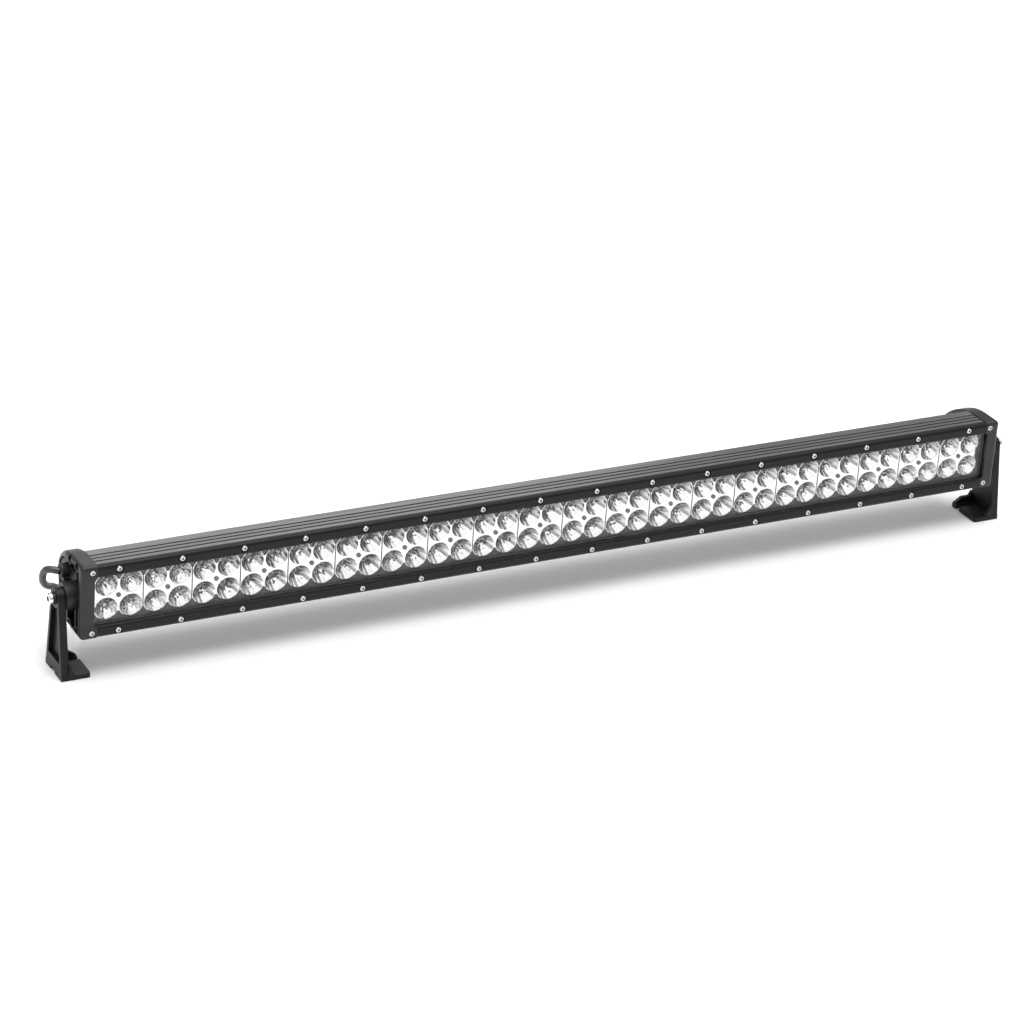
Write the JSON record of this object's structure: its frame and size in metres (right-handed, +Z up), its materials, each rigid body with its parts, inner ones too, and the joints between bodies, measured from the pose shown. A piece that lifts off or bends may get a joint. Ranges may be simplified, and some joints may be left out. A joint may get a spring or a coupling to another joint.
{
  "type": "led light bar",
  "caption": "Double-row LED light bar: finned black housing, clear lens over chrome reflector cups, end caps on swivel brackets, short lead with sealed connector.",
  "frame": {"origin": "on the ground under the middle of the bar, feet standing on z = 0", "axes": "+X along the bar towards its right end, -Y out of the lit face, +Z up"},
  "size_m": [1.0964, 0.1425, 0.1214],
  "materials": {
    "housing_black": "black anodised, fine satin extrusion",
    "bezel_black": "black anodised, satin",
    "cap_black": "black powder coat on a casting",
    "bracket_black": "black powder coat, fine texture",
    "stainless_screws": "bright stainless steel",
    "reflector_screw_steel": "zinc-plated steel",
    "pivot_steel": "polished stainless steel",
    "washer_black": "black-plated steel",
    "insert_brass": "machined brass",
    "lens_clear": "clear polycarbonate",
    "seal_rubber": "black silicone",
    "reflector_chrome": "vacuum-metallised mirror",
    "panel_grey": "dark grey, fine grain",
    "board_white": "white solder mask",
    "led_yellow": "yellow phosphor under clear silicone",
    "gland_plastic": "moulded nylon",
    "lead_sheath": "smooth PVC sheath",
    "connector_plastic": "moulded nylon",
    "contact_brass": "tin-plated brass",
    "core_insulation": "coloured PVC insulation"
  },
  "bodies": {
    "bar": {"housing": "housing_black", "top_bezel": "bezel_black", "bottom_bezel": "bezel_black", "bezel_screws": "stainless_screws", "corner_screws": "stainless_screws", "end_cap_screws": "stainless_screws", "lens": "lens_clear", "lens_gasket": "seal_rubber", "reflector_screws": "reflector_screw_steel", "backing_panel": "panel_grey", "leds": "led_yellow", "left_end_cap": "cap_black", "right_end_cap": "cap_black", "right_cap_gasket": "seal_rubber", "left_cap_gasket": "seal_rubber", "left_pivot_bolt": "pivot_steel", "right_pivot_bolt": "pivot_steel", "left_flat_washer": "washer_black", "right_flat_washer": "washer_black", "left_spring_washer": "washer_black", "right_spring_washer": "washer_black", "left_pivot_insert": "insert_brass", "right_pivot_insert": "insert_brass", "gland_body": "gland_plastic", "gland_nut": "gland_plastic", "gland_seal": "seal_rubber", "pressure_vent": "gland_plastic", "supply_lead": "lead_sheath", "connector_body": "connector_plastic", "connector_seal": "seal_rubber", "connector_pins": "contact_brass", "inner_leads": "core_insulation", "reflector_01": "reflector_chrome", "reflector_02": "reflector_chrome", "reflector_03": "reflector_chrome", "reflector_04": "reflector_chrome", "reflector_05": "reflector_chrome", "reflector_06": "reflector_chrome", "reflector_07": "reflector_chrome", "reflector_08": "reflector_chrome", "reflector_09": "reflector_chrome", "reflector_10": "reflector_chrome", "reflector_11": "reflector_chrome", "reflector_12": "reflector_chrome", "reflector_13": "reflector_chrome", "reflector_14": "reflector_chrome", "reflector_15": "reflector_chrome", "reflector_16": "reflector_chrome", "reflector_17": "reflector_chrome", "reflector_18": "reflector_chrome", "reflector_19": "reflector_chrome", "reflector_20": "reflector_chrome", "led_board_1": "board_white", "led_board_2": "board_white", "led_board_3": "board_white", "led_board_4": "board_white"},
    "left_bracket": {"left_bracket": "bracket_black"},
    "right_bracket": {"right_bracket": "bracket_black"}
  },
  "joints": [
    {"name": "left_bracket_swivel", "type": "hinge", "parent": "bar", "child": "left_bracket", "pos_m": [-0.5375, -0.0132, 0.0807], "axis": [1, 0, 0], "range_deg": [-90, 30]},
    {"name": "right_bracket_swivel", "type": "hinge", "parent": "bar", "child": "right_bracket", "pos_m": [0.5375, -0.0132, 0.0807], "axis": [1, 0, 0], "range_deg": [-90, 90]}
  ]
}
